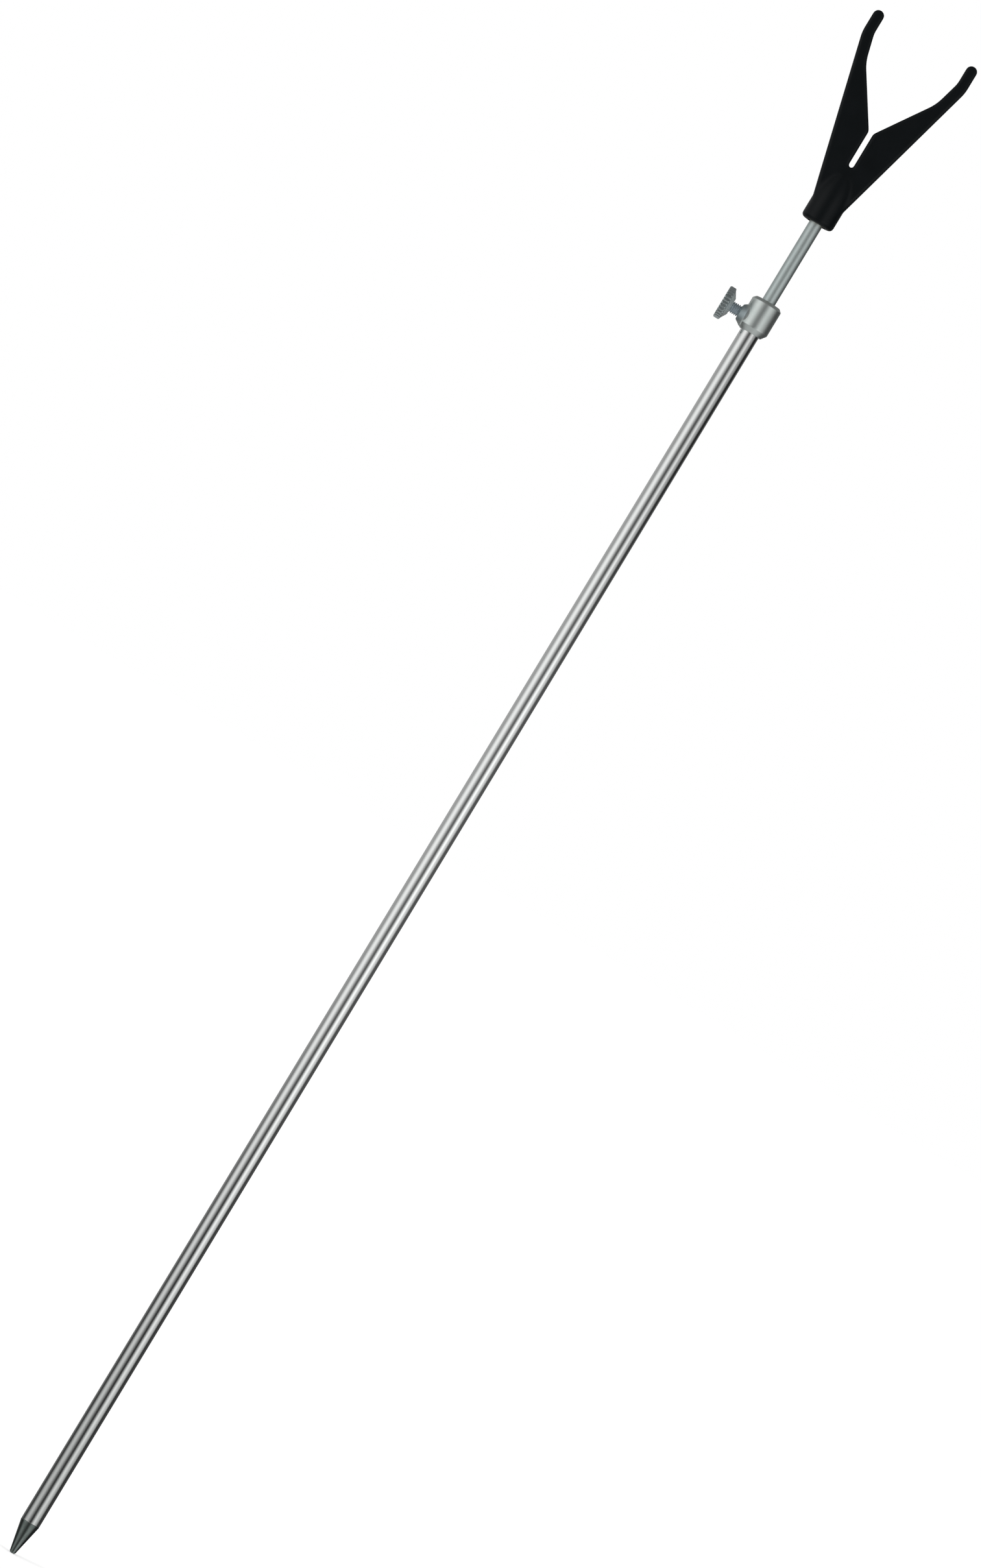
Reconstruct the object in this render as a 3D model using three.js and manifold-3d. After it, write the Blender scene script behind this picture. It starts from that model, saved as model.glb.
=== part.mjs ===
// A telescopic bank stick: a fishing rod rest that is pushed into the ground. A thin rod slides in a
// pointed tube, a thumbscrew in the tube's collar clamps it, and a V head on the rod holds the fishing rod.
// It stands upright on the origin, at the spike's tip, with +Z up the stick and the thumbscrew towards -X.
import * as THREE from "three";
import { mergeVertices } from "three/addons/utils/BufferGeometryUtils.js";
import Module from "manifold-3d";

const wasm = await Module();
wasm.setup();

// Sizes are in millimetres, and angles in degrees
const facets = 48;
const fluteSteps = 6;
const arcSteps = 6;
const domeSteps = 10;
const edgeSteps = 3;
const cutOverrun = 1;

// Clearances
const pressGap = 0.05; // round and under pieces that are pressed or screwed together
const slidingGap = 0.08; // round pieces that slide or turn
const endFloat = 0.1; // between the end faces of pieces that turn against each other
const threadGap = 0.1; // round a threaded stud in its hole

// Outer tube
const tubeWall = 1;
const tubeLength = 694.5;

// Ground spike: a solid point with a shank pressed into the tube
const spikeConeLength = 17;
const spikeTipDiameter = 3.2;
const spikeTipChamfer = 0.6;
const spikeLandLength = 0.5;
const spikeShankLength = 22;
const spikeShankChamfer = 0.8;

// Clamp collar, on the tube's mouth
const collarWall = 2.95;
const collarFootWall = 0.85;
const collarSkirtLength = 2.8;
const collarChamfer = 1.5;
const collarLipThickness = 2;
const collarLipGap = 0.5; // round the rod
const screwHeightOnCollar = 6.6;
const bossRise = 1.8; // out of the collar's side
const bossDiameter = 8.6;
const bossRootDepth = 1.4; // under the collar's side
const bossRootDiameter = 12.4;
const bossChamfer = 0.4;

// Mouth bush, trapped between the tube's end and the collar's lip
const bushWall = 0.37;
const bushFlangeThickness = 1;
const bushSleeveLength = 4;

// Inner rod
const rodDiameter = 7;
const rodShownLength = 45;
const rodFootClearance = 4; // from the spike's shank to the rod's foot when the stick is closed
const rodThreadDiameter = 6;
const rodThreadInset = 2; // from the insert's top to the rod's end
const rodThreadChamfer = 0.7;
const spigotShoulder = 1;
const spigotTail = 0.8;

// Foot bush and the push-on washer that holds it
const footBushLength = 10;
const footBushChamfer = 0.5;
const retainerBoreGap = 0.4;
const retainerThickness = 0.8;
const retainerToothDepth = 0.5;
const retainerTeeth = 6;

// Clamp screw and its brass shoe, measured outwards from the stick's axis
const screwDiameter = 6;
const screwPointChamfer = 0.6;
const dogDiameter = 2.6;
const dogLength = 1.2;
const padDiameter = 4.6;
const padThickness = 2.4;
const padWrap = 0.6; // how far the shoe's sides reach round the rod
const padBushGap = 1.65; // between the shoe and the mouth bush's sleeve

// Thumb knob
const knobDiameter = 17.5;
const knobStandOff = 4.7; // from the boss, with the screw as shown
const knobNeckDiameter = 8.6;
const knobConeLength = 2;
const knobConeInset = 0.95; // under the rim
const knobRimThickness = 3.4;
const knobRimChamfer = 0.5;
const knobFaceWall = 1.4;
const knobFlutes = 30;
const knobFluteDepth = 0.5;

// Fork head, measured up from its lower face
const forkHeight = 105.7;
const socketDiameter = 17.3;
const socketHeight = 11.7;
const socketEdgeRadius = 2.2;
const socketDomeHeight = 18.8;
const forkSpread = 58.9;
const armRootHeight = 5;
const fingerLength = 11.3;
const fingerWidth = 5.7;
const fingerBendRadius = 15;
const armBendDrop = 2; // from the finger's inner bend to the arm's outer one
const armBendRadius = 20;
const fingerRootShare = 0.67; // of the way from the valley to the finger's bend
const fingerRootWidth = 6.3;
const fingerRootRadius = 25;
const armRootThickness = 9;
const armTipThickness = 5.6;
const armEdgeRadius = 1.6;
const slotWidth = 2.54;
const slotWeb = 1.6; // between the socket's dome and the slot
const slotLength = 19.9;
const valleyEase = 0.4; // what the slot's mouth has over the arm's edge radius

// Threaded insert, moulded into the fork's socket
const insertDiameter = 11;
const insertLength = 16;
const insertRecess = 0.5;
const insertGrooveDepth = 0.7;
const insertGrooveWidth = 2.4;
const insertTopGap = 0.4;

// Places up the stick, worked out from the sizes
const rodRadius = rodDiameter / 2;
const boreRadius = rodRadius + slidingGap + bushWall + pressGap;
const tubeRadius = boreRadius + tubeWall;
const collarRadius = tubeRadius + pressGap + collarWall;
const tubeBottom = spikeConeLength + spikeLandLength + pressGap;
const tubeTop = tubeBottom + tubeLength;
const flangeBottom = tubeTop + pressGap;
const collarTop = flangeBottom + bushFlangeThickness + pressGap + collarLipThickness;
const screwAxisHeight = flangeBottom - bushSleeveLength - padBushGap - padDiameter / 2;
const collarBottom = screwAxisHeight - screwHeightOnCollar;
const collarLength = collarTop - collarBottom;
const forkBottom = collarTop + rodShownLength;
const rodShoulder = forkBottom + insertRecess - pressGap;
const spigotBottom =
  spikeConeLength + spikeLandLength + spikeShankLength + rodFootClearance + rodShownLength;
const retainerBottom = spigotBottom + spigotTail;
const footBushBottom = retainerBottom + retainerThickness + endFloat;
const spigotTop = footBushBottom + footBushLength + endFloat;
const spigotRadius = rodRadius - spigotShoulder;
const slotHeight = socketHeight + socketDomeHeight + slotWeb;
const valleyHeight = slotHeight + slotLength;

// Places outwards from the stick's axis along the thumbscrew
const padNose = rodRadius - padWrap;
const padBack = rodRadius + pressGap + padThickness;
const padSocketFloor = padBack - dogLength - endFloat;
const screwShoulder = padBack + endFloat;
const bossReach = collarRadius + bossRise;
const knobBackReach = bossReach + knobStandOff;
const knobRimBack = knobBackReach + knobConeLength;
const knobFace = knobRimBack + knobRimThickness;
const screwEnd = knobFace - knobFaceWall - pressGap;

function toSolid(geometry) {
  const bare = geometry.clone();
  bare.deleteAttribute("normal");
  bare.deleteAttribute("uv");
  const merged = mergeVertices(bare);
  const mesh = new wasm.Mesh({
    numProp: 3,
    vertProperties: merged.attributes.position.array,
    triVerts: new Uint32Array(merged.index.array),
  });
  return new wasm.Manifold(mesh);
}

function toGeometry(solid) {
  const mesh = solid.getMesh();
  const geometry = new THREE.BufferGeometry();
  geometry.setAttribute("position", new THREE.BufferAttribute(mesh.vertProperties, 3));
  geometry.setIndex(new THREE.BufferAttribute(mesh.triVerts, 1));
  return geometry;
}

// Turns an outline about the +Z axis. Its [radius, height] points go up the outside.
function turned(outline) {
  const points = outline.map(([radius, height]) => new THREE.Vector2(radius, height));
  return new THREE.LatheGeometry(points, facets).rotateX(Math.PI / 2);
}

function bar(radius, bottom, top) {
  return turned([
    [0, bottom],
    [radius, bottom],
    [radius, top],
    [0, top],
  ]);
}

// Points of an elliptical quarter, from straight up the outside at angle 0 to level at 90 degrees
function quarter(radius, bottom, width, height, steps) {
  return Array.from({ length: steps + 1 }, (_, step) => {
    const angle = (step / steps) * (Math.PI / 2);
    return [radius - width + width * Math.cos(angle), bottom + height * Math.sin(angle)];
  });
}

// Lays a piece that was turned about +Z along the thumbscrew, which points to -X
function alongScrew(geometry, height) {
  return geometry.rotateY(-Math.PI / 2).translate(0, 0, height);
}

// A shape through corners [x, y, radius], anticlockwise, each rounded by its own radius
function roundedShape(corners) {
  const points = corners.flatMap(([x, y, radius], index) => {
    const corner = new THREE.Vector2(x, y);
    const [beforeX, beforeY] = corners.at(index - 1);
    const [afterX, afterY] = corners[(index + 1) % corners.length];
    const incoming = corner.clone().sub(new THREE.Vector2(beforeX, beforeY)).normalize();
    const outgoing = new THREE.Vector2(afterX, afterY).sub(corner).normalize();
    const turn = Math.atan2(incoming.cross(outgoing), incoming.dot(outgoing));
    if (radius === 0) return [corner];
    const inwards = new THREE.Vector2(-incoming.y, incoming.x).multiplyScalar(Math.sign(turn));
    const centre = corner
      .clone()
      .addScaledVector(incoming, -radius * Math.tan(Math.abs(turn) / 2))
      .addScaledVector(inwards, radius);
    return Array.from({ length: arcSteps + 1 }, (_, step) => {
      const spoke = inwards.clone().multiplyScalar(-radius);
      return spoke.rotateAround(new THREE.Vector2(), (turn * step) / arcSteps).add(centre);
    });
  });
  return new THREE.Shape(points);
}

function outerTube() {
  const wall = turned([
    [boreRadius, 0],
    [tubeRadius, 0],
    [tubeRadius, tubeLength],
    [boreRadius, tubeLength],
    [boreRadius, 0],
  ]);
  const shoeHole = bar(padDiameter / 2 + threadGap * 2, 0, tubeRadius + cutOverrun);
  alongScrew(shoeHole, screwAxisHeight - tubeBottom);
  return toGeometry(toSolid(wall).subtract(toSolid(shoeHole)));
}

function groundSpike() {
  const tip = spikeTipDiameter / 2;
  const shank = boreRadius - pressGap;
  const shankBottom = spikeConeLength + spikeLandLength;
  const shankTop = shankBottom + spikeShankLength;
  return turned([
    [0, 0],
    [tip - spikeTipChamfer, 0],
    [tip, spikeTipChamfer],
    [tubeRadius, spikeConeLength],
    [tubeRadius, shankBottom],
    [shank, shankBottom],
    [shank, shankTop - spikeShankChamfer],
    [shank - spikeShankChamfer, shankTop],
    [0, shankTop],
  ]);
}

function clampCollar() {
  const seat = tubeRadius + pressGap;
  const bossRootReach = collarRadius - bossRootDepth;
  const body = turned([
    [0, 0],
    [seat + collarFootWall, 0],
    [collarRadius, collarSkirtLength],
    [collarRadius, collarLength - collarChamfer],
    [collarRadius - collarChamfer, collarLength],
    [0, collarLength],
  ]);
  const boss = turned([
    [0, 0],
    [bossRootDiameter / 2, 0],
    [bossRootDiameter / 2, bossRootReach],
    [bossDiameter / 2, bossReach - bossChamfer],
    [bossDiameter / 2 - bossChamfer, bossReach],
    [0, bossReach],
  ]);
  const seatTop = collarLength - collarLipThickness;
  const tubeSeat = bar(seat, -cutOverrun, seatTop);
  const lipHole = bar(rodRadius + collarLipGap, 0, collarLength + cutOverrun);
  const screwHole = bar(screwDiameter / 2 + threadGap, 0, bossReach + cutOverrun);
  alongScrew(boss, screwHeightOnCollar);
  alongScrew(screwHole, screwHeightOnCollar);
  const blank = toSolid(body).add(toSolid(boss));
  return toGeometry(
    blank.subtract(toSolid(tubeSeat)).subtract(toSolid(lipHole)).subtract(toSolid(screwHole)),
  );
}

function mouthBush() {
  const inner = rodRadius + slidingGap;
  const sleeve = boreRadius - pressGap;
  return turned([
    [inner, -bushSleeveLength],
    [sleeve, -bushSleeveLength],
    [sleeve, 0],
    [tubeRadius, 0],
    [tubeRadius, bushFlangeThickness],
    [inner, bushFlangeThickness],
    [inner, -bushSleeveLength],
  ]);
}

function innerRod() {
  const thread = rodThreadDiameter / 2;
  const threadTop = forkBottom + insertRecess + insertLength - rodThreadInset;
  return turned([
    [0, spigotBottom],
    [spigotRadius, spigotBottom],
    [spigotRadius, spigotTop],
    [rodRadius, spigotTop],
    [rodRadius, rodShoulder],
    [thread, rodShoulder],
    [thread, threadTop - rodThreadChamfer],
    [thread - rodThreadChamfer, threadTop],
    [0, threadTop],
  ]);
}

function footBush() {
  const inner = spigotRadius + slidingGap;
  const outer = boreRadius - slidingGap;
  return turned([
    [inner, 0],
    [outer - footBushChamfer, 0],
    [outer, footBushChamfer],
    [outer, footBushLength - footBushChamfer],
    [outer - footBushChamfer, footBushLength],
    [inner, footBushLength],
    [inner, 0],
  ]);
}

// A washer whose teeth, cut by notches round its hole, grip the spigot
function footRetainer() {
  const grip = spigotRadius + pressGap;
  const washer = new THREE.Shape().absarc(0, 0, boreRadius - retainerBoreGap, 0, Math.PI * 2);
  const hole = new THREE.Path();
  const points = Array.from({ length: retainerTeeth * 4 }, (_, index) => {
    const angle = ((index + 0.5) / (retainerTeeth * 4)) * Math.PI * 2;
    const radius = index % 4 < 2 ? grip : grip + retainerToothDepth;
    const toEdge = index % 4 < 2 ? radius / Math.cos(Math.PI / (retainerTeeth * 4)) : radius;
    return new THREE.Vector2(toEdge * Math.cos(angle), toEdge * Math.sin(angle));
  });
  hole.setFromPoints(points);
  hole.closePath();
  washer.holes.push(hole);
  return new THREE.ExtrudeGeometry(washer, {
    depth: retainerThickness,
    bevelEnabled: false,
    curveSegments: facets / 2,
  });
}

// The shoe's front is hollowed to the rod, and the screw's point turns in the socket in its back
function clampPad() {
  const blank = bar(padDiameter / 2, padNose, padBack);
  const socket = bar(dogDiameter / 2 + slidingGap, padSocketFloor, padBack + cutOverrun);
  const rod = bar(rodRadius + pressGap, -padDiameter, padDiameter).rotateY(Math.PI / 2);
  return toGeometry(toSolid(blank).subtract(toSolid(socket)).subtract(toSolid(rod)));
}

function clampScrew() {
  const dog = dogDiameter / 2;
  const stud = screwDiameter / 2;
  return turned([
    [0, screwShoulder - endFloat - dogLength],
    [dog, screwShoulder - endFloat - dogLength],
    [dog, screwShoulder],
    [stud - screwPointChamfer, screwShoulder],
    [stud, screwShoulder + screwPointChamfer],
    [stud, screwEnd],
    [0, screwEnd],
  ]);
}

// A fluted disc on a conical back, with a blind hole for the stud
function thumbKnob() {
  const steps = knobFlutes * fluteSteps;
  const rim = Array.from({ length: steps }, (_, index) => {
    const angle = (index / steps) * Math.PI * 2;
    const dip = (knobFluteDepth / 2) * (1 - Math.cos(angle * knobFlutes));
    const radius = knobDiameter / 2 - dip;
    return new THREE.Vector2(radius * Math.cos(angle), radius * Math.sin(angle));
  });
  const fluted = new THREE.ExtrudeGeometry(new THREE.Shape(rim), {
    depth: knobRimThickness + cutOverrun * 2,
    bevelEnabled: false,
  }).translate(0, 0, knobRimBack - cutOverrun);
  // Its edges slope past the rim, so that they chamfer the flutes
  const face = knobDiameter / 2 - knobRimChamfer;
  const waist = knobDiameter / 2 + knobRimChamfer;
  const blank = turned([
    [0, knobRimBack],
    [face, knobRimBack],
    [waist, knobRimBack + knobRimChamfer * 2],
    [waist, knobFace - knobRimChamfer * 2],
    [face, knobFace],
    [0, knobFace],
  ]);
  const cone = knobDiameter / 2 - knobConeInset;
  const back = turned([
    [0, knobBackReach],
    [knobNeckDiameter / 2, knobBackReach],
    [cone, knobRimBack],
    [cone, knobRimBack + knobRimThickness / 2],
    [0, knobRimBack + knobRimThickness / 2],
  ]);
  const studHole = bar(screwDiameter / 2 + pressGap, knobBackReach - cutOverrun, knobFace - knobFaceWall);
  const disc = toSolid(blank).intersect(toSolid(fluted));
  return toGeometry(disc.add(toSolid(back)).subtract(toSolid(studHole)));
}

// The insert's outline, grown by a gap for the pocket that it sits in
function insertOutline(gap, hole) {
  const outer = insertDiameter / 2 + gap;
  const grooved = outer - insertGrooveDepth;
  const middle = insertLength / 2;
  const half = insertGrooveWidth / 2 - gap;
  return [
    [hole, 0],
    [outer, 0],
    [outer, middle - half],
    [grooved, middle - half],
    [grooved, middle + half],
    [outer, middle + half],
    [outer, insertLength],
    [hole, insertLength],
  ];
}

function forkInsert() {
  const hole = rodThreadDiameter / 2 + threadGap;
  return turned([...insertOutline(0, hole), [hole, 0]]);
}

// The V's outline: both arms, their upright fingers and the line slot between them
function forkOutline() {
  const tip = forkSpread / 2;
  const socket = socketDiameter / 2;
  const fingerBend = forkHeight - fingerLength;
  const armBend = fingerBend - armBendDrop;
  const fingerRoot = valleyHeight + (fingerBend - valleyHeight) * fingerRootShare;
  const slope = (tip - socket) / (armBend - socketHeight);
  const rootHalf = socket - slope * (socketHeight - armRootHeight);
  const fingerRootHalf = socket + slope * (fingerRoot - socketHeight) - fingerRootWidth;
  const side = [
    [rootHalf, armRootHeight, 0],
    [tip, armBend, armBendRadius],
    [tip, forkHeight, fingerWidth / 2],
    [tip - fingerWidth, forkHeight, fingerWidth / 2],
    [tip - fingerWidth, fingerBend, fingerBendRadius],
    [fingerRootHalf, fingerRoot, fingerRootRadius],
    [slotWidth / 2, valleyHeight, armEdgeRadius + valleyEase],
    [slotWidth / 2, slotHeight, slotWidth / 2],
  ];
  const otherSide = side.map(([x, y, radius]) => [-x, y, radius]).reverse();
  return roundedShape([...side, ...otherSide]);
}

// The arms thin evenly from the socket to the tips
function forkArms() {
  const arms = new THREE.ExtrudeGeometry(forkOutline(), {
    depth: armRootThickness - armEdgeRadius * 2,
    bevelThickness: armEdgeRadius,
    bevelSize: armEdgeRadius,
    bevelOffset: -armEdgeRadius,
    bevelSegments: edgeSteps,
  });
  arms.translate(0, 0, armEdgeRadius - armRootThickness / 2).rotateX(Math.PI / 2);
  const places = arms.attributes.position;
  const thinning = 1 - armTipThickness / armRootThickness;
  for (let index = 0; index < places.count; index++) {
    const share = (places.getZ(index) - armRootHeight) / (forkHeight - armRootHeight);
    places.setY(index, places.getY(index) * (1 - thinning * share));
  }
  return arms;
}

function forkHead() {
  const radius = socketDiameter / 2;
  const edge = quarter(radius, 0, socketEdgeRadius, socketEdgeRadius, edgeSteps)
    .map(([x, y]) => [x, socketEdgeRadius - y])
    .reverse();
  const socket = turned([
    [0, 0],
    ...edge,
    ...quarter(radius, socketHeight, radius, socketDomeHeight, domeSteps),
  ]);
  const pocketFloor = insertLength + insertTopGap;
  const pocket = turned([[0, 0], ...insertOutline(pressGap, 0).slice(1, -1), [0, insertLength]]);
  pocket.translate(0, 0, insertRecess);
  const mouth = bar(insertDiameter / 2 + pressGap, -cutOverrun, insertRecess + cutOverrun);
  const clearance = bar(rodThreadDiameter / 2, insertRecess + cutOverrun, insertRecess + pocketFloor);
  const blank = toSolid(forkArms()).add(toSolid(socket));
  return toGeometry(
    blank.subtract(toSolid(pocket)).subtract(toSolid(mouth)).subtract(toSolid(clearance)),
  );
}

const chromedSteel = { color: "#d9dcdb", roughness: 0.08, metalness: 1 };
const satinSteel = { color: "#a9aeac", roughness: 0.35, metalness: 1 };
const groundSteel = { color: "#7d8583", roughness: 0.3, metalness: 1 };
const nickel = { color: "#c2c6c3", roughness: 0.22, metalness: 1 };
const darkNickel = { color: "#7c8188", roughness: 0.28, metalness: 1 };
const brass = { color: "#c8a457", roughness: 0.3, metalness: 1 };
const whitePlastic = { color: "#dcdcd4", roughness: 0.5, metalness: 0 };
const blackPlastic = { color: "#15191a", roughness: 0.42, metalness: 0 };

function piece(name, geometry, finish, height = 0) {
  const mesh = new THREE.Mesh(geometry, new THREE.MeshStandardMaterial(finish));
  mesh.name = name;
  mesh.position.z = height;
  return mesh;
}

function bankStick() {
  const stick = new THREE.Group();
  stick.add(
    piece("ground_spike", groundSpike(), groundSteel),
    piece("outer_tube", outerTube(), chromedSteel, tubeBottom),
    piece("clamp_collar", clampCollar(), nickel, collarBottom),
    piece("mouth_bush", mouthBush(), whitePlastic, flangeBottom),
    piece("inner_rod", innerRod(), satinSteel),
    piece("foot_bush", footBush(), whitePlastic, footBushBottom),
    piece("foot_retainer", footRetainer(), satinSteel, retainerBottom),
  );

  const fork = new THREE.Group();
  fork.position.z = forkBottom;
  fork.add(
    piece("fork_head", forkHead(), blackPlastic),
    piece("fork_insert", forkInsert(), brass, insertRecess),
  );

  const thumbscrew = new THREE.Group();
  thumbscrew.position.z = screwAxisHeight;
  thumbscrew.rotation.y = -Math.PI / 2;
  thumbscrew.add(
    piece("clamp_pad", clampPad(), brass),
    piece("clamp_screw", clampScrew(), darkNickel),
    piece("thumb_knob", thumbKnob(), darkNickel),
  );

  stick.add(fork, thumbscrew);
  return stick;
}

export default bankStick();
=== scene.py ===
"""The looks of a telescopic bank stick: a pointed chromed tube, a sliding rod clamped by a thumbscrew in
a collar, and a moulded V head, in a plain white studio. Lengths are in millimetres until a mesh is made."""

import math

import bmesh
import bpy
from mathutils import Matrix, Vector


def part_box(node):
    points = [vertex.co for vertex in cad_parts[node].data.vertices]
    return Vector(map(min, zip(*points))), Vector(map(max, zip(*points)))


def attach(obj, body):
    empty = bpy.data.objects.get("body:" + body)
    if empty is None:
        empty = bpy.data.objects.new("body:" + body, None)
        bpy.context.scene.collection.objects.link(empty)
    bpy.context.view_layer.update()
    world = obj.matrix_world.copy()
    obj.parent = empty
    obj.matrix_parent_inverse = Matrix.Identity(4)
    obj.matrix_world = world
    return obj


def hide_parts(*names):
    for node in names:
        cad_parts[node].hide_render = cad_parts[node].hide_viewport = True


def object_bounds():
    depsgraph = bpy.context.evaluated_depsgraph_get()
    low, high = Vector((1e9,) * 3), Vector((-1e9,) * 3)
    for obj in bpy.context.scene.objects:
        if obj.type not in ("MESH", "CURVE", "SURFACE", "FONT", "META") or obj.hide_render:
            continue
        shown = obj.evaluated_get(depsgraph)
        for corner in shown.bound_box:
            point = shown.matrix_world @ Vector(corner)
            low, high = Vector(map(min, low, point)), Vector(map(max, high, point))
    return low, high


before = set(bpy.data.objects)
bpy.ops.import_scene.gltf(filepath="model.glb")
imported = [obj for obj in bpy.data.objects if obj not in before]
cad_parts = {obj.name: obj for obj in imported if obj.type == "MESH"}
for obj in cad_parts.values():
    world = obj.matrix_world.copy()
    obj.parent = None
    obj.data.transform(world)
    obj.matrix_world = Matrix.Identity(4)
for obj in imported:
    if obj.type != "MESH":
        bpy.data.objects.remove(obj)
cad_low, cad_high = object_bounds()

MM = 0.001  # a millimetre in Blender's metres


def span(node):
    """A CAD node's lowest and highest corner, in millimetres."""
    low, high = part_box(node)
    return low / MM, high / MM


# Places and sizes taken from the frame
tube_low, tube_high = span("outer_tube")
spike_high = span("ground_spike")[1]
collar_low, collar_high = span("clamp_collar")
rod_low, rod_high = span("inner_rod")
head_low, head_high = span("fork_head")
insert_low, insert_high = span("fork_insert")
shoe_high = span("clamp_pad")[1]
stud_low, stud_high = span("clamp_screw")
knob_low, knob_high = span("thumb_knob")
foot_high = span("foot_bush")[1]
screw_height = (stud_low.z + stud_high.z) / 2
head_height = head_high.z - head_low.z

# Tube and spike
tube_wall = 1
tube_end_ease = 0.15
cone_top = 17
tip_radius = 1.6
tip_ease = 0.6
shank_gap = 0.05
shank_chamfer = 0.8
point_ease = 0.25
shoe_hole_gap = 0.2

# Collar
collar_foot_wall = 0.85
collar_skirt = 2.8
collar_chamfer = 1.5
collar_lip = 2
collar_lip_gap = 0.5
collar_ease = 0.3
collar_edge = 0.16
collar_edge_steps = 3
collar_edge_angle = math.radians(28)
boss_radius = 4.3
boss_root_radius = 6.2
boss_root_reach = 6.6
boss_chamfer = 0.4
boss_ease = 0.25
stud_hole_gap = 0.1
seat_gap = 0.05

# Rod
rod_radius = 3.5
spigot_radius = 2.5
rod_thread_radius = 3
rod_thread_chamfer = 0.7
rod_shoulder_rise = 0.45
rod_ease = 0.15
rod_thread_rows_start = 0.3  # above the shoulder that the head sits on
rod_thread_start = 0.4  # above it too
rod_thread_run_out = 1
foot_float = 0.1

# Thumbscrew, measured outwards from the stick's axis
dog_radius = 1.3
dog_length = 1.3
stud_radius = 3
stud_point_chamfer = 0.6
stud_ease = 0.1
stud_thread_start = -0.1  # from the foot of its chamfer
stud_thread_run_out = 0.4
knob_neck_radius = 4.3
knob_cone_length = 2
knob_cone_inset = 0.95
knob_rim_chamfer = 0.5
knob_face_wall = 1.4
knob_flutes = 30
knob_flute_depth = 0.5
knob_flute_run_out = 0.1
knob_ease = 0.16

# Threads and flutes
thread_lead = 1
thread_depth = 0.61
thread_rows = 16  # to one pitch
rib_crest = 0.05  # where a crest ends, and where the valley is deepest, in pitches from the crest's middle
rib_valley = 0.45
ribs_past_end = 2  # so that they run off a piece's end at their full depth

# Head, measured up from its lower face
socket_radius = 8.65
socket_height = 11.7
socket_edge = 2.2
socket_dome = 18.8
arm_root_height = 5
finger_length = 11.3
finger_width = 5.7
finger_bend_radius = 15
arm_bend_drop = 2
arm_bend_radius = 20
finger_root_share = 0.67
finger_root_width = 6.3
finger_root_radius = 25
arm_root_thickness = 9
arm_tip_thickness = 5.6
arm_edge = 1.6
arm_edge_angle = math.radians(60)
slot_half = 1.27
slot_floor = 32.1
valley_floor = 52
valley_ease = 0.4
insert_groove_depth = 0.7
insert_groove_half = 1.2
insert_gap = 0.05
thread_room = 0.4

# Where each finish changes, from and to
soil_wear = (20, 210)  # in height up the tube
boss_plate = (0.05, 1.2)  # out from the collar's side
rim_polish = (8.2, 8.75)  # in radius about the screw
stud_plate = (0, 0.1)  # inwards from the knob's back
cone_plate = (-0.2, 0.4)  # inwards from the base of its cone
parting_line = (0.08, 0.22)  # out from the middle of the head's depth
# What wear or thin plating adds to the roughness
soil_dulling = 0.2
boss_dulling = 0.08
cone_dulling = 0.3
grain_share = 0.3  # how high the nylon's grain stands, to 1 for its parting line

# Fineness of the meshes
turned_segments = 144
tube_segments = 192
fluted_segments = 360
corner_steps = 3
arc_steps = 14
edge_steps = 7
dome_steps = 24
head_cell = 0.42
head_smoothing = 6
skin_swell = 0.005  # what the head's skin adds outside its outline
fillet_reach = 3.5
fillet_smoothing = 80
corner_share = 0.45  # the most of an edge that the rounding of one corner takes
same_point = 0.01
seam_weld = 0.05
cad_weld = 0.002
overshoot = 1  # of a cutting tool, past the face it cuts
sharp_angle = math.radians(38)


def linear(colour):
    """An sRGB hex colour as linear RGBA."""
    shares = [int(colour[place : place + 2], 16) / 255 for place in (1, 3, 5)]
    return [share / 12.92 if share <= 0.04045 else ((share + 0.055) / 1.055) ** 2.4 for share in shares] + [1]


def feed(tree, node, inputs):
    """Gives a node's inputs their values, hex colours or sockets. A node stands for its first live output."""
    for name, value in inputs.items():
        if isinstance(value, str):
            value = linear(value)
        if isinstance(value, bpy.types.Node):
            value = next(output for output in value.outputs if output.enabled)
        if isinstance(value, bpy.types.NodeSocket):
            tree.links.new(value, node.inputs[name])
        else:
            node.inputs[name].default_value = value


def add(tree, kind, inputs=None, **settings):
    """Adds a node with its settings and what feeds it."""
    made = tree.nodes.new(kind)
    for name, value in settings.items():
        setattr(made, name, value)
    feed(tree, made, inputs or {})
    return made


def new_finish(name):
    """A material with its tree, its shader and the place on the piece in millimetres."""
    material = bpy.data.materials.new(name)
    material.use_nodes = True
    tree = material.node_tree
    place = add(tree, "ShaderNodeTexCoord").outputs["Object"]
    scaled = add(tree, "ShaderNodeVectorMath", {0: place, "Scale": 1 / MM}, operation="SCALE")
    return material, tree, tree.nodes["Principled BSDF"], scaled


def drawn_lines(tree, place, stretch, **sizes):
    """A 0 to 1 pattern that is stretched along the stick, as a drawing die or use leaves it."""
    squeezed = add(tree, "ShaderNodeMapping", {"Vector": place, "Scale": (1, 1, 1 / stretch)})
    named = {name.capitalize(): size for name, size in sizes.items()}
    return add(tree, "ShaderNodeTexNoise", {"Vector": squeezed, **named})


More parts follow.
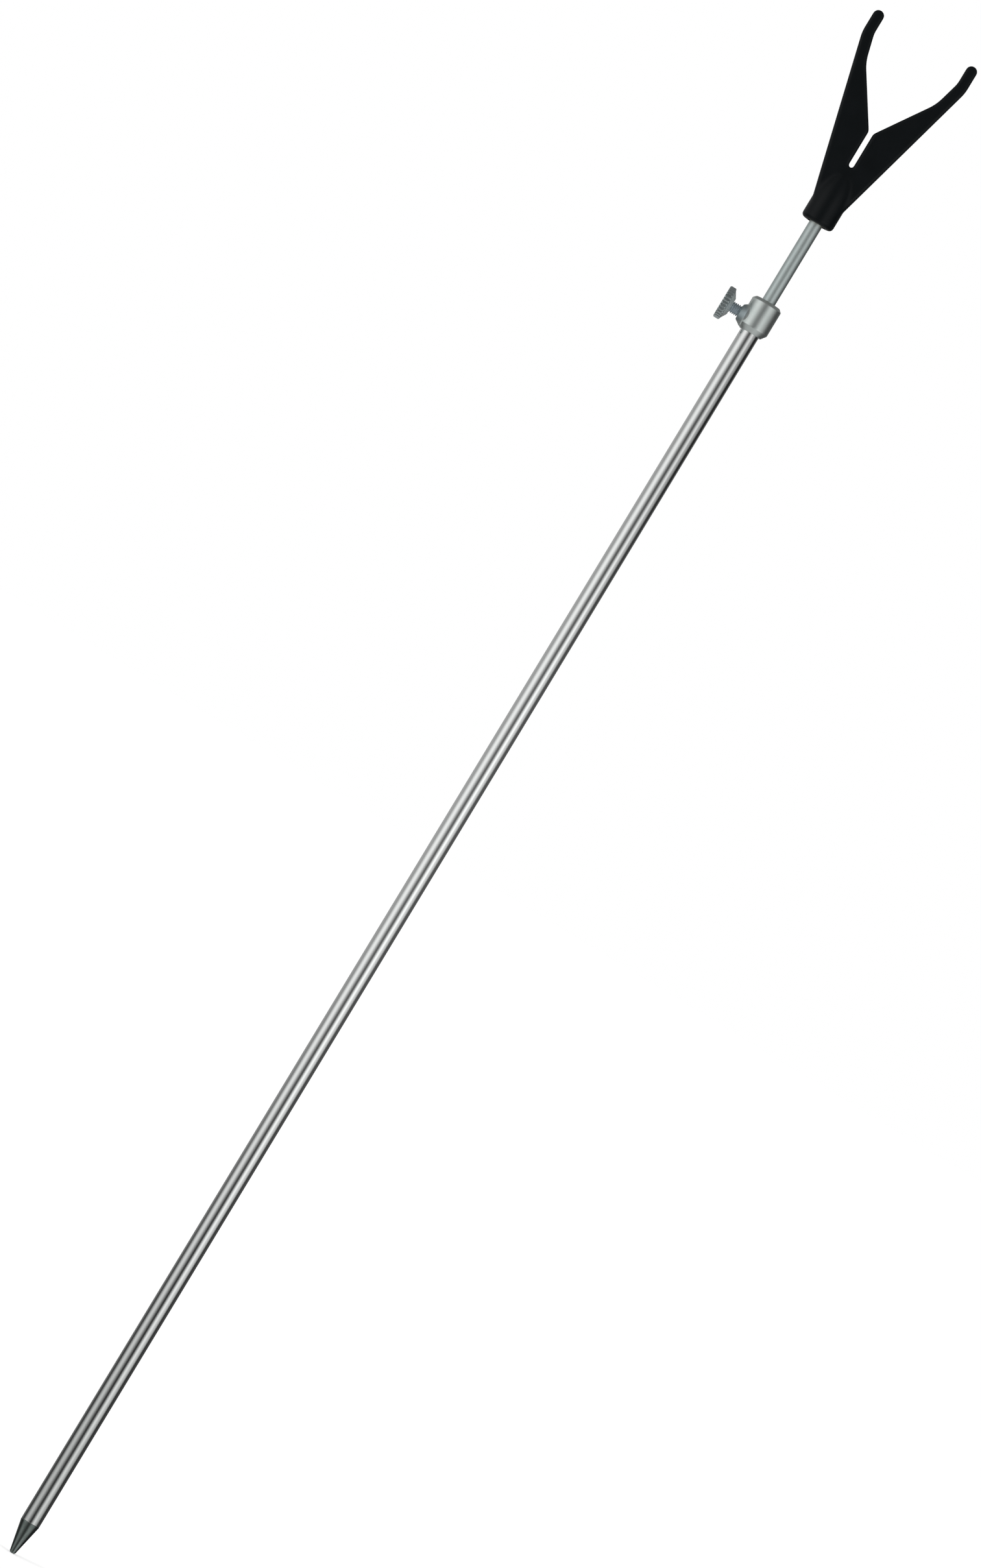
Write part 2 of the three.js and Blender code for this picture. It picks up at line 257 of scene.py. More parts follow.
def lathe_rings(tree, place, scale, detail, on_screw=False):
    """A 0 to 1 pattern in rings about a turned piece's axis, and the radius and distance along that axis."""
    parts = add(tree, "ShaderNodeSeparateXYZ", {"Vector": place}).outputs
    if on_screw:
        upwards = add(tree, "ShaderNodeMath", {0: parts["Z"], 1: screw_height}, operation="SUBTRACT")
        across, along = {"X": parts["Y"], "Y": upwards}, parts["X"]
    else:
        across, along = {"X": parts["X"], "Y": parts["Y"]}, parts["Z"]
    spoke = add(tree, "ShaderNodeCombineXYZ", across)
    radius = add(tree, "ShaderNodeVectorMath", {0: spoke}, operation="LENGTH")
    ringed = add(tree, "ShaderNodeCombineXYZ", {"X": radius, "Z": along})
    rings = add(tree, "ShaderNodeTexNoise", {"Vector": ringed, "Scale": scale, "Detail": detail})
    return rings, radius, along


def bright_chrome():
    """Decorative chrome over a drawn steel tube: a mirror with long faint draw lines, so that what it
    reflects runs along the tube as clean streaks, and dulled a little where it is pushed into the soil."""
    material, tree, shader, place = new_finish("chrome_plated_drawn_steel")
    lines = drawn_lines(tree, place, stretch=60, scale=2.2, detail=3, roughness=0.6)
    scuffs = drawn_lines(tree, place, stretch=9, scale=1.1, detail=5, roughness=0.7)
    height = add(tree, "ShaderNodeSeparateXYZ", {"Vector": place}).outputs["Z"]
    start, end = soil_wear
    in_soil = add(
        tree,
        "ShaderNodeMapRange",
        {"Value": height, "From Min": start, "From Max": end, "To Min": 1, "To Max": 0},
        interpolation_type="SMOOTHSTEP",
    )
    worn = add(tree, "ShaderNodeMath", {0: scuffs, 1: in_soil}, operation="MULTIPLY")
    plate = add(tree, "ShaderNodeMix", {"Factor": worn, "A": "#eceeed", "B": "#c9cdca"}, data_type="RGBA")
    gloss = add(tree, "ShaderNodeMapRange", {"Value": lines, "To Min": 0.05, "To Max": 0.11})
    dulled = add(tree, "ShaderNodeMath", {0: worn, 1: soil_dulling, 2: gloss}, operation="MULTIPLY_ADD")
    bump = add(tree, "ShaderNodeBump", {"Height": lines, "Distance": 0.004 * MM, "Strength": 0.5})
    feed(tree, shader, {"Base Color": plate, "Metallic": 1, "Roughness": dulled, "Normal": bump})
    return material


def turned_steel():
    """A turned steel point with dull zinc plating, scoured by stones: grey with a trace of green, rings
    from the lathe and darker stains. The feed marks are drawn 0.5 mm apart, coarser than the real ones."""
    material, tree, shader, place = new_finish("scoured_turned_steel")
    rings = lathe_rings(tree, place, scale=2, detail=2)[0]
    stains = drawn_lines(tree, place, stretch=2.5, scale=0.5, detail=6, roughness=0.65)
    plate = add(tree, "ShaderNodeMix", {"Factor": stains, "A": "#5f6a66", "B": "#9ea8a4"}, data_type="RGBA")
    gloss = add(tree, "ShaderNodeMapRange", {"Value": stains, "To Min": 0.34, "To Max": 0.16})
    bump = add(tree, "ShaderNodeBump", {"Height": rings, "Distance": 0.02 * MM, "Strength": 0.5})
    feed(tree, shader, {"Base Color": plate, "Metallic": 1, "Roughness": gloss, "Normal": bump})
    return material


def satin_nickel():
    """Satin nickel over turned brass: soft broad highlights that keep their streaks, with fine lathe rings
    drawn about 0.4 mm apart so that they show, a slightly yellowed tone in patches, and a thinner, greyer
    plate out on the boss."""
    material, tree, shader, place = new_finish("satin_nickel_on_turned_brass")
    rings, radius = lathe_rings(tree, place, scale=2.6, detail=3)[:2]
    tone = add(tree, "ShaderNodeTexNoise", {"Vector": place, "Scale": 0.25, "Detail": 4})
    start, end = (collar_high.x + reach for reach in boss_plate)
    on_boss = add(
        tree,
        "ShaderNodeMapRange",
        {"Value": radius, "From Min": start, "From Max": end},
        interpolation_type="SMOOTHSTEP",
    )
    plate = add(tree, "ShaderNodeMix", {"Factor": tone, "A": "#dde8e5", "B": "#edf2ef"}, data_type="RGBA")
    greyed = add(tree, "ShaderNodeMix", {"Factor": on_boss, "A": plate, "B": "#bac6c9"}, data_type="RGBA")
    gloss = add(tree, "ShaderNodeMapRange", {"Value": rings, "To Min": 0.3, "To Max": 0.44})
    dulled = add(tree, "ShaderNodeMath", {0: on_boss, 1: boss_dulling, 2: gloss}, operation="MULTIPLY_ADD")
    bump = add(tree, "ShaderNodeBump", {"Height": rings, "Distance": 0.012 * MM, "Strength": 0.4})
    feed(tree, shader, {"Base Color": greyed, "Metallic": 1, "Roughness": dulled, "Normal": bump})
    return material


def black_nickel():
    """Darkened nickel on the turned thumbscrew: blue-grey and half bright, with rings from the lathe, the
    plate polished paler on the rim where fingers turn it and on the stud where the thread rubs it, and
    thinner, so paler and matter, on the cone behind."""
    material, tree, shader, place = new_finish("darkened_nickel_on_turned_brass")
    rings, radius, along = lathe_rings(tree, place, scale=2.8, detail=3, on_screw=True)
    start, end = rim_polish
    handled = add(
        tree,
        "ShaderNodeMapRange",
        {"Value": radius, "From Min": start, "From Max": end},
        interpolation_type="SMOOTHSTEP",
    )
    patches = add(tree, "ShaderNodeTexNoise", {"Vector": place, "Scale": 0.9, "Detail": 4})
    rubbed = add(tree, "ShaderNodeMath", {0: handled, 1: patches}, operation="MULTIPLY")
    start, end = (knob_high.x + reach for reach in stud_plate)
    on_stud = add(tree, "ShaderNodeMapRange", {"Value": along, "From Min": start, "From Max": end})
    start, end = (knob_high.x - knob_cone_length + reach for reach in cone_plate)
    on_cone = add(
        tree,
        "ShaderNodeMapRange",
        {"Value": along, "From Min": start, "From Max": end},
        interpolation_type="SMOOTHSTEP",
    )
    plate = add(tree, "ShaderNodeMix", {"Factor": rubbed, "A": "#c6d2d3", "B": "#e4ecec"}, data_type="RGBA")
    thinned = add(tree, "ShaderNodeMix", {"Factor": on_cone, "A": plate, "B": "#f6fcfc"}, data_type="RGBA")
    paled = add(tree, "ShaderNodeMix", {"Factor": on_stud, "A": thinned, "B": "#d3dde3"}, data_type="RGBA")
    gloss = add(tree, "ShaderNodeMapRange", {"Value": rings, "To Min": 0.22, "To Max": 0.36})
    matter = add(tree, "ShaderNodeMath", {0: on_cone, 1: cone_dulling, 2: gloss}, operation="MULTIPLY_ADD")
    bump = add(tree, "ShaderNodeBump", {"Height": rings, "Distance": 0.015 * MM, "Strength": 0.5})
    feed(tree, shader, {"Base Color": paled, "Metallic": 1, "Roughness": matter, "Normal": bump})
    return material


def satin_zinc():
    """Satin zinc plate over a drawn steel rod: an even pale grey with broken lengthwise lines from the
    drawing die, and smoother tracks where the bush has rubbed it."""
    material, tree, shader, place = new_finish("satin_zinc_plated_drawn_steel")
    lines = drawn_lines(tree, place, stretch=40, scale=2.6, detail=4, roughness=0.65)
    cloud = drawn_lines(tree, place, stretch=4, scale=0.6, detail=5, roughness=0.6)
    plate = add(tree, "ShaderNodeMix", {"Factor": cloud, "A": "#d0dbda", "B": "#e8f3f1"}, data_type="RGBA")
    gloss = add(tree, "ShaderNodeMapRange", {"Value": lines, "To Min": 0.4, "To Max": 0.54})
    bump = add(tree, "ShaderNodeBump", {"Height": lines, "Distance": 0.01 * MM, "Strength": 0.5})
    feed(tree, shader, {"Base Color": plate, "Metallic": 1, "Roughness": gloss, "Normal": bump})
    return material


def turned_brass():
    """Bare free-cutting brass, bright from the lathe and browned a little in the rings."""
    material, tree, shader, place = new_finish("turned_brass")
    rings = lathe_rings(tree, place, scale=2.5, detail=3)[0]
    brass = add(tree, "ShaderNodeMix", {"Factor": rings, "A": "#b48f45", "B": "#dcbb6c"}, data_type="RGBA")
    gloss = add(tree, "ShaderNodeMapRange", {"Value": rings, "To Min": 0.2, "To Max": 0.34})
    bump = add(tree, "ShaderNodeBump", {"Height": rings, "Distance": 0.015 * MM, "Strength": 0.5})
    feed(tree, shader, {"Base Color": brass, "Metallic": 1, "Roughness": gloss, "Normal": bump})
    return material


def natural_acetal():
    """Moulded natural acetal: milky, slightly warm white with a soft gloss and faint sink clouds."""
    material, tree, shader, place = new_finish("moulded_natural_acetal")
    cloud = add(tree, "ShaderNodeTexNoise", {"Vector": place, "Scale": 0.7, "Detail": 4})
    milky = add(tree, "ShaderNodeMix", {"Factor": cloud, "A": "#d6d4ca", "B": "#e5e4dc"}, data_type="RGBA")
    gloss = add(tree, "ShaderNodeMapRange", {"Value": cloud, "To Min": 0.33, "To Max": 0.48})
    bump = add(tree, "ShaderNodeBump", {"Height": cloud, "Distance": 0.02 * MM, "Strength": 0.3})
    feed(tree, shader, {"Base Color": milky, "Roughness": gloss, "Normal": bump})
    feed(tree, shader, {"Subsurface Weight": 0.15, "Subsurface Radius": (0.0012, 0.001, 0.0008)})
    return material


def moulded_nylon():
    """Glass-filled black nylon from an eroded mould: almost black with a cool cast, a satin skin of fine
    grain drawn 0.35 mm wide so that it shows, paler scuffs, and the mould's parting line round its edge."""
    material, tree, shader, place = new_finish("moulded_black_nylon")
    grain = add(tree, "ShaderNodeTexNoise", {"Vector": place, "Scale": 2.8, "Detail": 3})
    flow = add(tree, "ShaderNodeTexNoise", {"Vector": place, "Scale": 0.12, "Detail": 5})
    depth = add(tree, "ShaderNodeSeparateXYZ", {"Vector": place}).outputs["Y"]
    off_line = add(tree, "ShaderNodeMath", {0: depth}, operation="ABSOLUTE")
    start, end = parting_line
    on_line = add(
        tree,
        "ShaderNodeMapRange",
        {"Value": off_line, "From Min": start, "From Max": end, "To Min": 1, "To Max": 0},
        interpolation_type="SMOOTHSTEP",
    )
    black = add(tree, "ShaderNodeMix", {"Factor": flow, "A": "#05090a", "B": "#0a0e11"}, data_type="RGBA")
    gloss = add(tree, "ShaderNodeMapRange", {"Value": flow, "To Min": 0.32, "To Max": 0.42})
    relief = add(tree, "ShaderNodeMath", {0: grain, 1: grain_share, 2: on_line}, operation="MULTIPLY_ADD")
    bump = add(tree, "ShaderNodeBump", {"Height": relief, "Distance": 0.05 * MM, "Strength": 0.6})
    feed(tree, shader, {"Base Color": black, "Roughness": gloss, "Normal": bump})
    feed(tree, shader, {"Specular IOR Level": 0.18})
    return material


finishes = {
    "chromed_steel": bright_chrome(),
    "ground_steel": turned_steel(),
    "satin_nickel": satin_nickel(),
    "dark_nickel": black_nickel(),
    "satin_steel": satin_zinc(),
    "brass": turned_brass(),
    "white_acetal": natural_acetal(),
    "black_nylon": moulded_nylon(),
}


def eased(outline, radius):
    """An outline of [radius, height] points with every corner off its ends rounded."""
    closed = outline[0] == outline[-1]
    corners = outline[:-1] if closed else outline
    points = []
    for index, corner in enumerate(corners):
        if not closed and index in (0, len(corners) - 1):
            points.append(tuple(corner))
            continue
        here = Vector(corner)
        before = Vector(corners[index - 1]) - here
        after = Vector(corners[(index + 1) % len(corners)]) - here
        reach = min(radius, before.length * corner_share, after.length * corner_share)
        start = here + before.normalized() * reach
        end = here + after.normalized() * reach
        for step in range(corner_steps + 1):
            share = step / corner_steps
            point = start * (1 - share) ** 2 + here * 2 * share * (1 - share) + end * share**2
            points.append((point.x, point.y))
    return points + points[:1] if closed else points


def rows_between(outline, low, high, rows):
    """Adds evenly spaced points, so many rows to a millimetre, to the outline's run that takes up most of the
    way from low to high, to carry a thread."""
    points = []
    for first, second in zip(outline, outline[1:]):
        points.append(first)
        if abs(second[1] - first[1]) > (high - low) / 2:
            steps = math.ceil(rows * abs(second[1] - first[1]))
            points += [tuple(Vector(first).lerp(Vector(second), step / steps)) for step in range(1, steps)]
    return points + [outline[-1]]


def placed(name, data):
    """A new object in the scene."""
    made = bpy.data.objects.new(name, data)
    bpy.context.scene.collection.objects.link(made)
    return made


def meshed(name, work):
    """A new object in the scene, with the mesh that was worked on."""
    mesh = bpy.data.meshes.new(name)
    work.to_mesh(mesh)
    work.free()
    return placed(name, mesh)


def turned(name, outline, segments=turned_segments):
    """Turns an outline of [radius, height] points, which goes up the outside, about +Z."""
    closed = outline[0] == outline[-1]
    work = bmesh.new()
    rings = []
    for radius, height in outline[:-1] if closed else outline:
        ring = []
        for step in range(segments if radius > 0 else 1):
            angle = math.tau * step / segments
            x, y = radius * MM * math.cos(angle), radius * MM * math.sin(angle)
            ring.append(work.verts.new((x, y, height * MM)))
        rings.append(ring)
    pairs = list(zip(rings, rings[1:])) + ([(rings[-1], rings[0])] if closed else [])
    for low, high in pairs:
        for step in range(segments):
            after = (step + 1) % segments
            lower = [low[step % len(low)], low[after % len(low)]]
            upper = [high[after % len(high)], high[step % len(high)]]
            work.faces.new(dict.fromkeys(lower + upper))
    bmesh.ops.recalc_face_normals(work, faces=work.faces)
    return meshed(name, work)


def bar(radius, low, high):
    """A plain round bar about +Z, to cut a hole with."""
    return turned("bar", [(0, low), (radius, low), (radius, high), (0, high)])


def along_screw(piece):
    """Lays a piece that was turned about +Z along the thumbscrew, which points to -X."""
    lay = Matrix.Translation((0, 0, screw_height * MM)) @ Matrix.Rotation(-math.pi / 2, 4, "Y")
    piece.data.transform(lay)
    return piece


def plain(piece):
    """Replaces the piece's mesh by what its modifiers make of it."""
    graph = bpy.context.evaluated_depsgraph_get()
    mesh = bpy.data.meshes.new_from_object(piece.evaluated_get(graph))
    rough = piece.data
    piece.modifiers.clear()
    piece.data = mesh
    bpy.data.meshes.remove(rough)
    return piece


def combined(piece, joined=(), cut=()):
    """Joins other pieces to a piece and cuts others out of it."""
    for tools, operation in ((joined, "UNION"), (cut, "DIFFERENCE")):
        for tool in tools:
            boolean = piece.modifiers.new(operation.lower(), "BOOLEAN")
            boolean.operation = operation
            boolean.solver = "EXACT"
            boolean.object = tool
    # The seam's slivers are welded away
    weld = piece.modifiers.new("weld", "WELD")
    weld.merge_threshold = seam_weld * MM
    plain(piece)
    for tool in [*joined, *cut]:
        bpy.data.meshes.remove(tool.data)
    return piece


def rib_cutter():
    """Geometry Nodes that cut ribs into a turned piece: its thread with one start and a lead, or its
    flutes with many starts and none. A vertex outside the rib's line is drawn in to it."""
    tree = bpy.data.node_groups.new("rib_cutter", "GeometryNodeTree")
    tree.interface.new_socket("Geometry", in_out="OUTPUT", socket_type="NodeSocketGeometry")
    tree.interface.new_socket("Geometry", in_out="INPUT", socket_type="NodeSocketGeometry")
    sizes = ("Rib Starts", "Turns per Length", "Outer Radius", "Depth", "Ribs From", "Ribs To", "Run Out")
    for name in sizes:
        tree.interface.new_socket(name, in_out="INPUT", socket_type="NodeSocketFloat")
    tree.interface.new_socket("Material", in_out="INPUT", socket_type="NodeSocketMaterial")
    given = add(tree, "NodeGroupInput").outputs
    place = add(tree, "ShaderNodeSeparateXYZ", {"Vector": add(tree, "GeometryNodeInputPosition")}).outputs
    angle = add(tree, "ShaderNodeMath", {0: place["Y"], 1: place["X"]}, operation="ARCTAN2")
    turn = add(tree, "ShaderNodeMath", {0: angle, 1: math.tau}, operation="DIVIDE")
    starts = add(tree, "ShaderNodeMath", {0: turn, 1: given["Rib Starts"]}, operation="MULTIPLY")
    phase = add(
        tree,
        "ShaderNodeMath",
        {0: place["Z"], 1: given["Turns per Length"], 2: starts},
        operation="MULTIPLY_ADD",
    )
    wave = add(tree, "ShaderNodeMath", {0: phase, 1: 0.5}, operation="PINGPONG")
    valley = add(
        tree,
        "ShaderNodeMapRange",
        {"Value": wave, "From Min": rib_crest, "From Max": rib_valley},
        interpolation_type="SMOOTHSTEP",
    )
    # The ribs fade out over the run-out at both ends
    above = add(tree, "ShaderNodeMath", {0: place["Z"], 1: given["Ribs From"]}, operation="SUBTRACT")
    below = add(tree, "ShaderNodeMath", {0: given["Ribs To"], 1: place["Z"]}, operation="SUBTRACT")
    inside = add(tree, "ShaderNodeMath", {0: above, 1: below}, operation="MINIMUM")
    fade = add(tree, "ShaderNodeMath", {0: inside, 1: given["Run Out"]}, operation="DIVIDE", use_clamp=True)
    depth = add(tree, "ShaderNodeMath", {0: given["Depth"], 1: fade}, operation="MULTIPLY")
    dip = add(tree, "ShaderNodeMath", {0: depth, 1: valley}, operation="MULTIPLY")
    line = add(tree, "ShaderNodeMath", {0: given["Outer Radius"], 1: dip}, operation="SUBTRACT")
    spoke = add(tree, "ShaderNodeCombineXYZ", {"X": place["X"], "Y": place["Y"]})
    radius = add(tree, "ShaderNodeVectorMath", {0: spoke}, operation="LENGTH")
    kept = add(tree, "ShaderNodeMath", {0: radius, 1: line}, operation="MINIMUM")
    outwards = add(tree, "ShaderNodeVectorMath", {0: spoke}, operation="NORMALIZE")
    drawn_in = add(tree, "ShaderNodeVectorMath", {0: outwards, "Scale": kept}, operation="SCALE")
    level = add(tree, "ShaderNodeCombineXYZ", {"Z": place["Z"]})
    position = add(tree, "ShaderNodeVectorMath", {0: drawn_in, 1: level}, operation="ADD")
    cut = add(tree, "GeometryNodeSetPosition", {"Geometry": given["Geometry"], "Position": position})
    real = add(tree, "GeometryNodeRealizeInstances", {"Geometry": cut})
    plated = add(tree, "GeometryNodeSetMaterial", {"Geometry": real, "Material": given["Material"]})
    add(tree, "NodeGroupOutput", {"Geometry": plated})
    return tree


cutter = rib_cutter()


def ribbed(piece, slot, rib_starts, turns_per_mm, **lengths):
    """Cuts ribs into a piece that was turned about +Z. The lengths are the cutter's inputs of those names."""
    given = {"Rib Starts": rib_starts, "Turns per Length": turns_per_mm / MM, "Material": finishes[slot]}
    given |= {name.replace("_", " ").title(): length * MM for name, length in lengths.items()}
    modifier = piece.modifiers.new("ribs", "NODES")
    modifier.node_group = cutter
    for socket in cutter.interface.items_tree:
        if socket.name in given:
            modifier[socket.identifier] = given[socket.name]
    return plain(piece)


def dressed(piece, name, body, slot, node):
    """Smooths a finished piece, gives it its finish and lets it stand for its CAD node."""
    piece.name = name
    mesh = piece.data
    mesh.name = name
    mesh.materials.clear()
    mesh.materials.append(finishes[slot])
    mesh.shade_smooth()
    mesh.set_sharp_from_angle(angle=sharp_angle)
    weighted = piece.modifiers.new("weighted", "WEIGHTED_NORMAL")
    weighted.keep_sharp = True
    plain(piece)
    piece.data.name = name
    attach(piece, body)
    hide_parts(node)


def drawn_tube():
    """The main tube, with the hole that the clamp's shoe reaches through."""
    outer, inner = tube_high.x, tube_high.x - tube_wall
    wall = [
        (inner, tube_low.z),
        (outer, tube_low.z),
        (outer, tube_high.z),
        (inner, tube_high.z),
        (inner, tube_low.z),
    ]
    piece = turned("tube", eased(wall, tube_end_ease), tube_segments)
    hole = along_screw(bar(shoe_high.y + shoe_hole_gap, 0, outer + overshoot))
    dressed(combined(piece, cut=[hole]), "drawn_tube", "tube", "chromed_steel", "outer_tube")


def turned_point():
    """The cone that goes into the ground, with its shank in the tube."""
    outer = tube_high.x
    shank = outer - tube_wall - shank_gap
    shoulder = tube_low.z - shank_gap
    outline = [
        (0, 0),
        (tip_radius - tip_ease, 0),
        (tip_radius, tip_ease),
        (outer, cone_top),
        (outer, shoulder),
        (shank, shoulder),
        (shank, spike_high.z - shank_chamfer),
        (shank - shank_chamfer, spike_high.z),
        (0, spike_high.z),
    ]
    piece = turned("point", eased(outline, point_ease))
    dressed(piece, "turned_point", "tube", "ground_steel", "ground_spike")


def turned_collar():
    """The collar with the tapered boss that the thumbscrew is threaded into."""
    seat = tube_high.x + seat_gap
    outer = collar_high.x
    low, high = collar_low.z, collar_high.z
    barrel = [
        (0, low),
        (seat + collar_foot_wall, low),
        (outer, low + collar_skirt),
        (outer, high - collar_chamfer),
        (outer - collar_chamfer, high),
        (0, high),
    ]
    reach = -collar_low.x
    boss = [
        (0, 0),
        (boss_root_radius, 0),
        (boss_root_radius, boss_root_reach),
        (boss_radius, reach - boss_chamfer),
        (boss_radius - boss_chamfer, reach),
        (0, reach),
    ]
    piece = combined(
        turned("collar", eased(barrel, collar_ease)),
        joined=[along_screw(turned("boss", eased(boss, boss_ease)))],
        cut=[
            bar(seat, low - overshoot, high - collar_lip),
            bar(rod_radius + collar_lip_gap, low, high + overshoot),
            along_screw(bar(stud_radius + stud_hole_gap, 0, reach + overshoot)),
        ],
    )
    edges = piece.modifiers.new("edges", "BEVEL")
    edges.width = collar_edge * MM
    edges.segments = collar_edge_steps
    edges.limit_method = "ANGLE"
    edges.angle_limit = collar_edge_angle
    dressed(plain(piece), "turned_collar", "tube", "satin_nickel", "clamp_collar")


def sliding_rod():
    """The thin rod, with a spigot for its foot bush and a thread for the head."""
    shoulder = head_low.z + rod_shoulder_rise
    spigot_end = foot_high.z + foot_float
    outline = eased(
        [
            (0, rod_low.z),
            (spigot_radius, rod_low.z),
            (spigot_radius, spigot_end),
            (rod_radius, spigot_end),
            (rod_radius, shoulder),
            (rod_thread_radius, shoulder),
            (rod_thread_radius, rod_high.z - rod_thread_chamfer),
            (rod_thread_radius - rod_thread_chamfer, rod_high.z),
            (0, rod_high.z),
        ],
        rod_ease,
    )
    rows_start = shoulder + rod_thread_rows_start
    smooth = [point for point in outline if point[1] <= rows_start]
    threaded = smooth[-1:] + [point for point in outline if point[1] > rows_start]
    threaded = rows_between(threaded, shoulder, rod_high.z, thread_rows / thread_lead)
    piece = ribbed(
        turned("rod", smooth + threaded[1:]),
        "satin_steel",
        rib_starts=-1,
        turns_per_mm=1 / thread_lead,
        outer_radius=rod_radius,
        depth=thread_depth + rod_radius - rod_thread_radius,
        ribs_from=shoulder + rod_thread_start,
        ribs_to=rod_high.z + ribs_past_end,
        run_out=rod_thread_run_out,
    )
    dressed(piece, "sliding_rod", "stem", "satin_steel", "inner_rod")


def threaded_stud():
    """The thumbscrew's stud, with the plain point that turns in the brass shoe."""
    tip = -stud_high.x
    shoulder = tip + dog_length
    end = -stud_low.x
    outline = [
        (0, tip),
        (dog_radius, tip),
        (dog_radius, shoulder),
        (stud_radius - stud_point_chamfer, shoulder),
        (stud_radius, shoulder + stud_point_chamfer),
        (stud_radius, end),
        (0, end),
    ]
    threaded = rows_between(eased(outline, stud_ease), shoulder, end, thread_rows / thread_lead)
    piece = ribbed(
        turned("stud", threaded),
        "dark_nickel",
        rib_starts=-1,
        turns_per_mm=1 / thread_lead,
        outer_radius=stud_radius,
        depth=thread_depth,
        ribs_from=shoulder + stud_thread_start,
        ribs_to=end + ribs_past_end,
        run_out=stud_thread_run_out,
    )
    dressed(along_screw(piece), "threaded_stud", "screw", "dark_nickel", "clamp_screw")


def fluted_knob():
    """The thumbscrew's disc on its conical back, fluted round the rim, with a blind hole for the stud."""
    back = -knob_high.x
    face = -knob_low.x
    rim_back = back + knob_cone_length
    rim = knob_high.y
    hole = stud_radius + seat_gap
    hole_floor = face - knob_face_wall
    outline = [
        (0, hole_floor),
        (hole, hole_floor),
        (hole, back),
        (knob_neck_radius, back),
        (rim - knob_cone_inset, rim_back),
        (rim - knob_rim_chamfer, rim_back),
        (rim, rim_back + knob_rim_chamfer),
        (rim, face - knob_rim_chamfer),
        (rim - knob_rim_chamfer, face),
        (0, face),
    ]
    piece = ribbed(
        turned("knob", eased(outline, knob_ease), fluted_segments),
        "dark_nickel",
        rib_starts=knob_flutes,
        turns_per_mm=0,
        outer_radius=rim,
        depth=knob_flute_depth,
        ribs_from=back,
        ribs_to=face + ribs_past_end,
        run_out=knob_flute_run_out,
    )
    dressed(along_screw(piece), "fluted_knob", "screw", "dark_nickel", "thumb_knob")


def rounded_outline(corners):
    """A closed outline through [x, y, radius] corners, anticlockwise, each rounded by its own radius."""
    points = []
    for index, (x, y, radius) in enumerate(corners):
        corner = Vector((x, y))
        incoming = (corner - Vector(corners[index - 1][:2])).normalized()
        outgoing = (Vector(corners[(index + 1) % len(corners)][:2]) - corner).normalized()
        turn = math.atan2(incoming.cross(outgoing), incoming.dot(outgoing))
        if radius == 0:
            points.append(corner)
            continue
        inwards = Vector((-incoming.y, incoming.x)) * math.copysign(1, turn)
        centre = corner - incoming * radius * math.tan(abs(turn) / 2) + inwards * radius
        for step in range(arc_steps + 1):
            spoke = Matrix.Rotation(turn * step / arc_steps, 2) @ (inwards * -radius)
            points.append(centre + spoke)
    # Two roundings that meet share a point, which is kept once
    pairs = zip(points, points[-1:] + points)
    return [point for point, before in pairs if (point - before).length > same_point]


def head_outline():
    """The V: both arms, their upright fingers and the line slot between them."""
    tip = head_high.x - skin_swell
    finger_bend = head_height - finger_length
    arm_bend = finger_bend - arm_bend_drop
    finger_root = valley_floor + (finger_bend - valley_floor) * finger_root_share
    slope = (tip - socket_radius) / (arm_bend - socket_height)
    root_half = socket_radius - slope * (socket_height - arm_root_height)
    finger_root_half = socket_radius + slope * (finger_root - socket_height) - finger_root_width
    side = [
        (root_half, arm_root_height, 0),
        (tip, arm_bend, arm_bend_radius),
        (tip, head_height, finger_width / 2),
        (tip - finger_width, head_height, finger_width / 2),
        (tip - finger_width, finger_bend, finger_bend_radius),
        (finger_root_half, finger_root, finger_root_radius),
        (slot_half, valley_floor, arm_edge + valley_ease),
        (slot_half, slot_floor, slot_half),
    ]
    other_side = [(-x, y, radius) for x, y, radius in reversed(side)]
    return rounded_outline(side + other_side)


def thickness_left(height):
    """The share of the arms' thickness at their root that they have at a height above the head's foot."""
    share = (height - arm_root_height) / (head_height - arm_root_height)
    return 1 - (1 - arm_tip_thickness / arm_root_thickness) * share


def head_arms():
    """The arms as one plate with rounded edges, which thins towards the tips."""
    work = bmesh.new()
    half = arm_root_thickness / 2 * MM
    front = work.faces.new([work.verts.new((point.x * MM, half, point.y * MM)) for point in head_outline()])
    grown = bmesh.ops.extrude_face_region(work, geom=[front])
    lifted = [item for item in grown["geom"] if isinstance(item, bmesh.types.BMVert)]
    bmesh.ops.translate(work, verts=lifted, vec=(0, -arm_root_thickness * MM, 0))
    bmesh.ops.recalc_face_normals(work, faces=work.faces)
    piece = meshed("head", work)
    rounding = piece.modifiers.new("edges", "BEVEL")
    rounding.width = arm_edge * MM
    rounding.segments = edge_steps
    rounding.limit_method = "ANGLE"
    rounding.angle_limit = arm_edge_angle
    rounding.use_clamp_overlap = False
    plain(piece)
    for vertex in piece.data.vertices:
        vertex.co.y *= thickness_left(vertex.co.z / MM)
    return piece


def head_socket():
    """The round socket that the arms run into, rounded at its foot and domed at its top."""
    edge = [
        (
            socket_radius - socket_edge + socket_edge * math.sin(step / edge_steps * math.pi / 2),
            socket_edge - socket_edge * math.cos(step / edge_steps * math.pi / 2),
        )
        for step in range(edge_steps + 1)
    ]
    dome = [
        (
            socket_radius * math.cos(step / dome_steps * math.pi / 2),
            socket_height + socket_dome * math.sin(step / dome_steps * math.pi / 2),
        )
        for step in range(dome_steps)
    ]
    return turned("socket", [(0, 0), *edge, *dome, (0, socket_height + socket_dome)])


